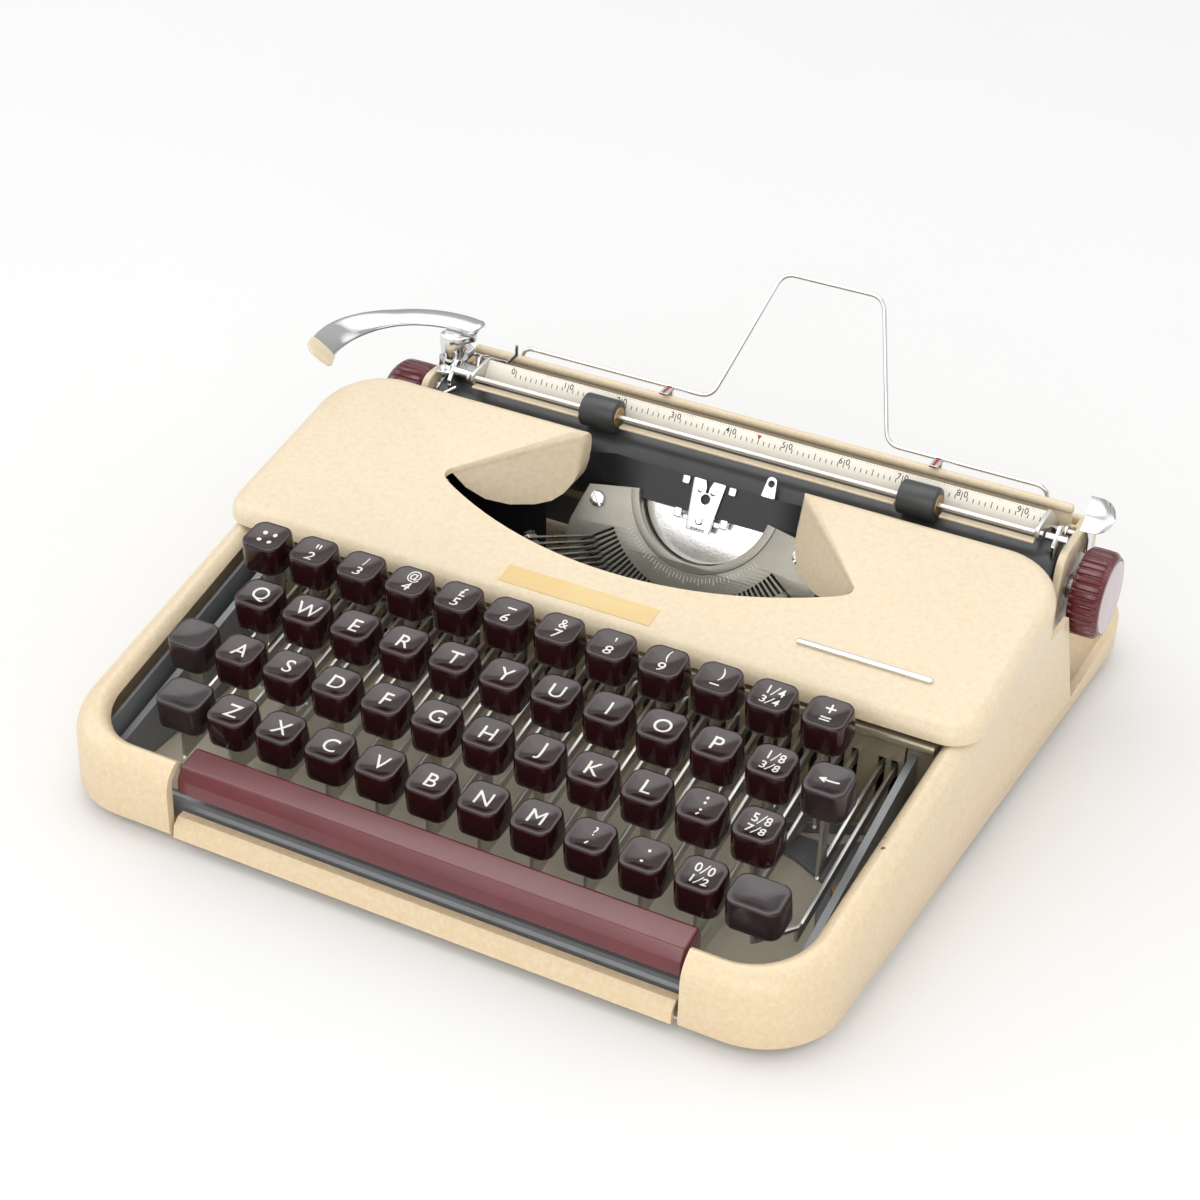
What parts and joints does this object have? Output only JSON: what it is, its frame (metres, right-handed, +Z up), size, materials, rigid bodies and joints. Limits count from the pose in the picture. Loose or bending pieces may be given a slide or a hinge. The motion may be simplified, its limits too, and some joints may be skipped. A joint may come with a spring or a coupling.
{
  "type": "typewriter",
  "caption": "Portable manual typewriter: cream shell and lifting cover, wine-red keys on steel levers, half-ring type segment, sliding carriage with platen, bail and levers.",
  "frame": {"origin": "middle of the footprint of the whole machine, on the table under the feet", "axes": "+X to the typist's right along the platen, +Y from the space bar towards the rear, +Z up"},
  "size_m": [0.3114, 0.286, 0.1218],
  "materials": {
    "cream_paint": "cream stoved enamel with a fine texture, satin",
    "key_plastic": "glossy dark oxblood moulding",
    "blank_key_plastic": "glossy grey-brown moulding",
    "wine_plastic": "glossy wine-red moulding",
    "chrome": "polished chrome plate",
    "nickel": "warm satin nickel plate",
    "bright_steel": "bright drawn steel",
    "grey_paint": "grey lacquer over cast metal, satin",
    "black_rubber": "matte black rubber",
    "card_grey": "pale grey paint, matte"
  },
  "bodies": {
    "frame": {"body_shell": "cream_paint", "base_plate": "card_grey", "front_strip": "cream_paint", "inner_frame": "grey_paint", "comb_plate": "nickel", "segment": "grey_paint", "type_bars": "bright_steel", "type_guide": "chrome"},
    "carriage": {"carriage_frame": "cream_paint", "paper_table": "cream_paint", "carriage_back_bar": "cream_paint"},
    "top_cover": {"top_cover": "cream_paint"},
    "return_lever": {"return_lever": "chrome"},
    "paper_bail": {"paper_bail": "cream_paint"},
    "paper_support": {"paper_support": "bright_steel"},
    "space_bar": {"space_bar": "wine_plastic"},
    "platen": {"platen": "black_rubber", "left_knob": "wine_plastic", "right_knob": "wine_plastic"},
    "release_lever": {"release_lever": "chrome"},
    "shift_key_left": {"shift_key_left": "blank_key_plastic"},
    "shift_key_right": {"shift_key_right": "blank_key_plastic"},
    "shift_lock_key": {"shift_lock_key": "blank_key_plastic"},
    "backspace_key": {"backspace_key": "blank_key_plastic"},
    "margin_release_key": {"margin_release_key": "key_plastic"},
    "figure_keys": {"figure_keys": "key_plastic"},
    "sign_keys": {"sign_keys": "key_plastic"},
    "ribbon_vibrator": {"ribbon_vibrator": "chrome"},
    "margin_stop_left": {"margin_stop_left": "chrome"},
    "margin_stop_right": {"margin_stop_right": "chrome"},
    "bail_roller_left": {"bail_roller_left": "black_rubber"},
    "bail_roller_right": {"bail_roller_right": "black_rubber"},
    "ribbon_spool_left": {"ribbon_spool_left": "bright_steel"},
    "ribbon_spool_right": {"ribbon_spool_right": "bright_steel"},
    "key_q": {"key_q": "key_plastic"},
    "key_w": {"key_w": "key_plastic"},
    "key_e": {"key_e": "key_plastic"},
    "key_r": {"key_r": "key_plastic"},
    "key_t": {"key_t": "key_plastic"},
    "key_y": {"key_y": "key_plastic"},
    "key_u": {"key_u": "key_plastic"},
    "key_i": {"key_i": "key_plastic"},
    "key_o": {"key_o": "key_plastic"},
    "key_p": {"key_p": "key_plastic"},
    "key_a": {"key_a": "key_plastic"},
    "key_s": {"key_s": "key_plastic"},
    "key_d": {"key_d": "key_plastic"},
    "key_f": {"key_f": "key_plastic"},
    "key_g": {"key_g": "key_plastic"},
    "key_h": {"key_h": "key_plastic"},
    "key_j": {"key_j": "key_plastic"},
    "key_k": {"key_k": "key_plastic"},
    "key_l": {"key_l": "key_plastic"},
    "key_z": {"key_z": "key_plastic"},
    "key_x": {"key_x": "key_plastic"},
    "key_c": {"key_c": "key_plastic"},
    "key_v": {"key_v": "key_plastic"},
    "key_b": {"key_b": "key_plastic"},
    "key_n": {"key_n": "key_plastic"},
    "key_m": {"key_m": "key_plastic"}
  },
  "joints": [
    {"name": "carriage_slide", "type": "slide", "parent": "frame", "child": "carriage", "axis": [1, 0, 0], "range_m": [-0.098, 0.088]},
    {"name": "top_cover_hinge", "type": "hinge", "parent": "frame", "child": "top_cover", "pos_m": [0.0027, 0.059, 0.076], "axis": [-1, 0, 0], "range_deg": [0, 26]},
    {"name": "return_lever_hinge", "type": "hinge", "parent": "carriage", "child": "return_lever", "pos_m": [-0.1103, 0.08, 0.082], "axis": [0, 0, 1], "range_deg": [0, 35], "stiffness_Nm_per_rad": 0.2, "springref_deg": -11.46},
    {"name": "paper_bail_hinge", "type": "hinge", "parent": "carriage", "child": "paper_bail", "pos_m": [0.0027, 0.09, 0.068], "axis": [-1, 0, 0], "range_deg": [0, 40], "stiffness_Nm_per_rad": 0.3, "springref_deg": -17.19},
    {"name": "paper_support_hinge", "type": "hinge", "parent": "carriage", "child": "paper_support", "pos_m": [0.0027, 0.1041, 0.07], "axis": [-1, 0, 0], "range_deg": [0, 70]},
    {"name": "space_bar_hinge", "type": "hinge", "parent": "frame", "child": "space_bar", "pos_m": [0.0027, -0.015, 0.0085], "axis": [1, 0, 0], "range_deg": [0, 2.9], "stiffness_Nm_per_rad": 2, "springref_deg": -4.58},
    {"name": "platen_spin", "type": "hinge", "parent": "carriage", "child": "platen", "pos_m": [0.0027, 0.077, 0.055], "axis": [1, 0, 0], "continuous": true},
    {"name": "release_lever_hinge", "type": "hinge", "parent": "carriage", "child": "release_lever", "pos_m": [0.1417, 0.088, 0.066], "axis": [1, 0, 0], "range_deg": [0, 15], "stiffness_Nm_per_rad": 0.1, "springref_deg": -11.46},
    {"name": "shift_key_left_hinge", "type": "hinge", "parent": "frame", "child": "shift_key_left", "pos_m": [-0.09905, 0.015, 0.019], "axis": [1, 0, 0], "range_deg": [0, 3.1], "stiffness_Nm_per_rad": 0.5, "springref_deg": -4.58},
    {"name": "shift_key_right_hinge", "type": "hinge", "parent": "frame", "child": "shift_key_right", "pos_m": [0.10995, 0.015, 0.019], "axis": [1, 0, 0], "range_deg": [0, 3.1], "stiffness_Nm_per_rad": 0.5, "springref_deg": -4.58},
    {"name": "shift_lock_key_hinge", "type": "hinge", "parent": "frame", "child": "shift_lock_key", "pos_m": [-0.10855, 0.015, 0.019], "axis": [1, 0, 0], "range_deg": [0, 3.6], "stiffness_Nm_per_rad": 0.5, "springref_deg": -4.58},
    {"name": "backspace_key_hinge", "type": "hinge", "parent": "frame", "child": "backspace_key", "pos_m": [0.1147, 0.015, 0.019], "axis": [1, 0, 0], "range_deg": [0, 4.4], "stiffness_Nm_per_rad": 0.5, "springref_deg": -4.58},
    {"name": "margin_release_key_hinge", "type": "hinge", "parent": "frame", "child": "margin_release_key", "pos_m": [-0.1038, 0.015, 0.019], "axis": [1, 0, 0], "range_deg": [0, 5.2], "stiffness_Nm_per_rad": 0.5, "springref_deg": -4.58},
    {"name": "figure_keys_hinge", "type": "hinge", "parent": "frame", "child": "figure_keys", "pos_m": [0.0027, 0.015, 0.019], "axis": [1, 0, 0], "range_deg": [0, 5.2], "stiffness_Nm_per_rad": 3, "springref_deg": -4.58},
    {"name": "sign_keys_hinge", "type": "hinge", "parent": "frame", "child": "sign_keys", "pos_m": [0.0767, 0.015, 0.019], "axis": [1, 0, 0], "range_deg": [0, 3.1], "stiffness_Nm_per_rad": 2, "springref_deg": -4.58},
    {"name": "ribbon_vibrator_slide", "type": "slide", "parent": "frame", "child": "ribbon_vibrator", "axis": [0, 0.5, 0.866], "range_m": [0, 0.005], "stiffness_N_per_m": 60, "springref_m": -0.004},
    {"name": "margin_stop_left_slide", "type": "slide", "parent": "carriage", "child": "margin_stop_left", "axis": [1, 0, 0], "range_m": [-0.06, 0.04]},
    {"name": "margin_stop_right_slide", "type": "slide", "parent": "carriage", "child": "margin_stop_right", "axis": [1, 0, 0], "range_m": [-0.05, 0.025]},
    {"name": "bail_roller_left_spin", "type": "hinge", "parent": "paper_bail", "child": "bail_roller_left", "pos_m": [-0.0403, 0.069, 0.077], "axis": [1, 0, 0], "continuous": true},
    {"name": "bail_roller_right_spin", "type": "hinge", "parent": "paper_bail", "child": "bail_roller_right", "pos_m": [0.0852, 0.069, 0.077], "axis": [1, 0, 0], "continuous": true},
    {"name": "ribbon_spool_left_spin", "type": "hinge", "parent": "frame", "child": "ribbon_spool_left", "pos_m": [-0.1053, 0.029, 0.0555], "axis": [0, 0, 1], "continuous": true},
    {"name": "ribbon_spool_right_spin", "type": "hinge", "parent": "frame", "child": "ribbon_spool_right", "pos_m": [0.1107, 0.029, 0.0555], "axis": [0, 0, 1], "continuous": true},
    {"name": "key_q_hinge", "type": "hinge", "parent": "frame", "child": "key_q", "pos_m": [-0.0943, 0.015, 0.019], "axis": [1, 0, 0], "range_deg": [0, 4.4], "stiffness_Nm_per_rad": 0.5, "springref_deg": -4.58},
    {"name": "key_w_hinge", "type": "hinge", "parent": "frame", "child": "key_w", "pos_m": [-0.0753, 0.015, 0.019], "axis": [1, 0, 0], "range_deg": [0, 4.4], "stiffness_Nm_per_rad": 0.5, "springref_deg": -4.58},
    {"name": "key_e_hinge", "type": "hinge", "parent": "frame", "child": "key_e", "pos_m": [-0.0563, 0.015, 0.019], "axis": [1, 0, 0], "range_deg": [0, 4.4], "stiffness_Nm_per_rad": 0.5, "springref_deg": -4.58},
    {"name": "key_r_hinge", "type": "hinge", "parent": "frame", "child": "key_r", "pos_m": [-0.0373, 0.015, 0.019], "axis": [1, 0, 0], "range_deg": [0, 4.4], "stiffness_Nm_per_rad": 0.5, "springref_deg": -4.58},
    {"name": "key_t_hinge", "type": "hinge", "parent": "frame", "child": "key_t", "pos_m": [-0.0183, 0.015, 0.019], "axis": [1, 0, 0], "range_deg": [0, 4.4], "stiffness_Nm_per_rad": 0.5, "springref_deg": -4.58},
    {"name": "key_y_hinge", "type": "hinge", "parent": "frame", "child": "key_y", "pos_m": [0.0007, 0.015, 0.019], "axis": [1, 0, 0], "range_deg": [0, 4.4], "stiffness_Nm_per_rad": 0.5, "springref_deg": -4.58},
    {"name": "key_u_hinge", "type": "hinge", "parent": "frame", "child": "key_u", "pos_m": [0.0197, 0.015, 0.019], "axis": [1, 0, 0], "range_deg": [0, 4.4], "stiffness_Nm_per_rad": 0.5, "springref_deg": -4.58},
    {"name": "key_i_hinge", "type": "hinge", "parent": "frame", "child": "key_i", "pos_m": [0.0387, 0.015, 0.019], "axis": [1, 0, 0], "range_deg": [0, 4.4], "stiffness_Nm_per_rad": 0.5, "springref_deg": -4.58},
    {"name": "key_o_hinge", "type": "hinge", "parent": "frame", "child": "key_o", "pos_m": [0.0577, 0.015, 0.019], "axis": [1, 0, 0], "range_deg": [0, 4.4], "stiffness_Nm_per_rad": 0.5, "springref_deg": -4.58},
    {"name": "key_p_hinge", "type": "hinge", "parent": "frame", "child": "key_p", "pos_m": [0.0767, 0.015, 0.019], "axis": [1, 0, 0], "range_deg": [0, 4.4], "stiffness_Nm_per_rad": 0.5, "springref_deg": -4.58},
    {"name": "key_a_hinge", "type": "hinge", "parent": "frame", "child": "key_a", "pos_m": [-0.08955, 0.015, 0.019], "axis": [1, 0, 0], "range_deg": [0, 3.6], "stiffness_Nm_per_rad": 0.5, "springref_deg": -4.58},
    {"name": "key_s_hinge", "type": "hinge", "parent": "frame", "child": "key_s", "pos_m": [-0.07055, 0.015, 0.019], "axis": [1, 0, 0], "range_deg": [0, 3.6], "stiffness_Nm_per_rad": 0.5, "springref_deg": -4.58},
    {"name": "key_d_hinge", "type": "hinge", "parent": "frame", "child": "key_d", "pos_m": [-0.05155, 0.015, 0.019], "axis": [1, 0, 0], "range_deg": [0, 3.6], "stiffness_Nm_per_rad": 0.5, "springref_deg": -4.58},
    {"name": "key_f_hinge", "type": "hinge", "parent": "frame", "child": "key_f", "pos_m": [-0.03255, 0.015, 0.019], "axis": [1, 0, 0], "range_deg": [0, 3.6], "stiffness_Nm_per_rad": 0.5, "springref_deg": -4.58},
    {"name": "key_g_hinge", "type": "hinge", "parent": "frame", "child": "key_g", "pos_m": [-0.01355, 0.015, 0.019], "axis": [1, 0, 0], "range_deg": [0, 3.6], "stiffness_Nm_per_rad": 0.5, "springref_deg": -4.58},
    {"name": "key_h_hinge", "type": "hinge", "parent": "frame", "child": "key_h", "pos_m": [0.00545, 0.015, 0.019], "axis": [1, 0, 0], "range_deg": [0, 3.6], "stiffness_Nm_per_rad": 0.5, "springref_deg": -4.58},
    {"name": "key_j_hinge", "type": "hinge", "parent": "frame", "child": "key_j", "pos_m": [0.02445, 0.015, 0.019], "axis": [1, 0, 0], "range_deg": [0, 3.6], "stiffness_Nm_per_rad": 0.5, "springref_deg": -4.58},
    {"name": "key_k_hinge", "type": "hinge", "parent": "frame", "child": "key_k", "pos_m": [0.04345, 0.015, 0.019], "axis": [1, 0, 0], "range_deg": [0, 3.6], "stiffness_Nm_per_rad": 0.5, "springref_deg": -4.58},
    {"name": "key_l_hinge", "type": "hinge", "parent": "frame", "child": "key_l", "pos_m": [0.06245, 0.015, 0.019], "axis": [1, 0, 0], "range_deg": [0, 3.6], "stiffness_Nm_per_rad": 0.5, "springref_deg": -4.58},
    {"name": "key_z_hinge", "type": "hinge", "parent": "frame", "child": "key_z", "pos_m": [-0.08005, 0.015, 0.019], "axis": [1, 0, 0], "range_deg": [0, 3.1], "stiffness_Nm_per_rad": 0.5, "springref_deg": -4.58},
    {"name": "key_x_hinge", "type": "hinge", "parent": "frame", "child": "key_x", "pos_m": [-0.06105, 0.015, 0.019], "axis": [1, 0, 0], "range_deg": [0, 3.1], "stiffness_Nm_per_rad": 0.5, "springref_deg": -4.58},
    {"name": "key_c_hinge", "type": "hinge", "parent": "frame", "child": "key_c", "pos_m": [-0.04205, 0.015, 0.019], "axis": [1, 0, 0], "range_deg": [0, 3.1], "stiffness_Nm_per_rad": 0.5, "springref_deg": -4.58},
    {"name": "key_v_hinge", "type": "hinge", "parent": "frame", "child": "key_v", "pos_m": [-0.02305, 0.015, 0.019], "axis": [1, 0, 0], "range_deg": [0, 3.1], "stiffness_Nm_per_rad": 0.5, "springref_deg": -4.58},
    {"name": "key_b_hinge", "type": "hinge", "parent": "frame", "child": "key_b", "pos_m": [-0.00405, 0.015, 0.019], "axis": [1, 0, 0], "range_deg": [0, 3.1], "stiffness_Nm_per_rad": 0.5, "springref_deg": -4.58},
    {"name": "key_n_hinge", "type": "hinge", "parent": "frame", "child": "key_n", "pos_m": [0.01495, 0.015, 0.019], "axis": [1, 0, 0], "range_deg": [0, 3.1], "stiffness_Nm_per_rad": 0.5, "springref_deg": -4.58},
    {"name": "key_m_hinge", "type": "hinge", "parent": "frame", "child": "key_m", "pos_m": [0.03395, 0.015, 0.019], "axis": [1, 0, 0], "range_deg": [0, 3.1], "stiffness_Nm_per_rad": 0.5, "springref_deg": -4.58}
  ],
  "couplings": [
    {"joint": "shift_key_right_hinge", "follows": "shift_key_left_hinge", "ratio": 1}
  ]
}
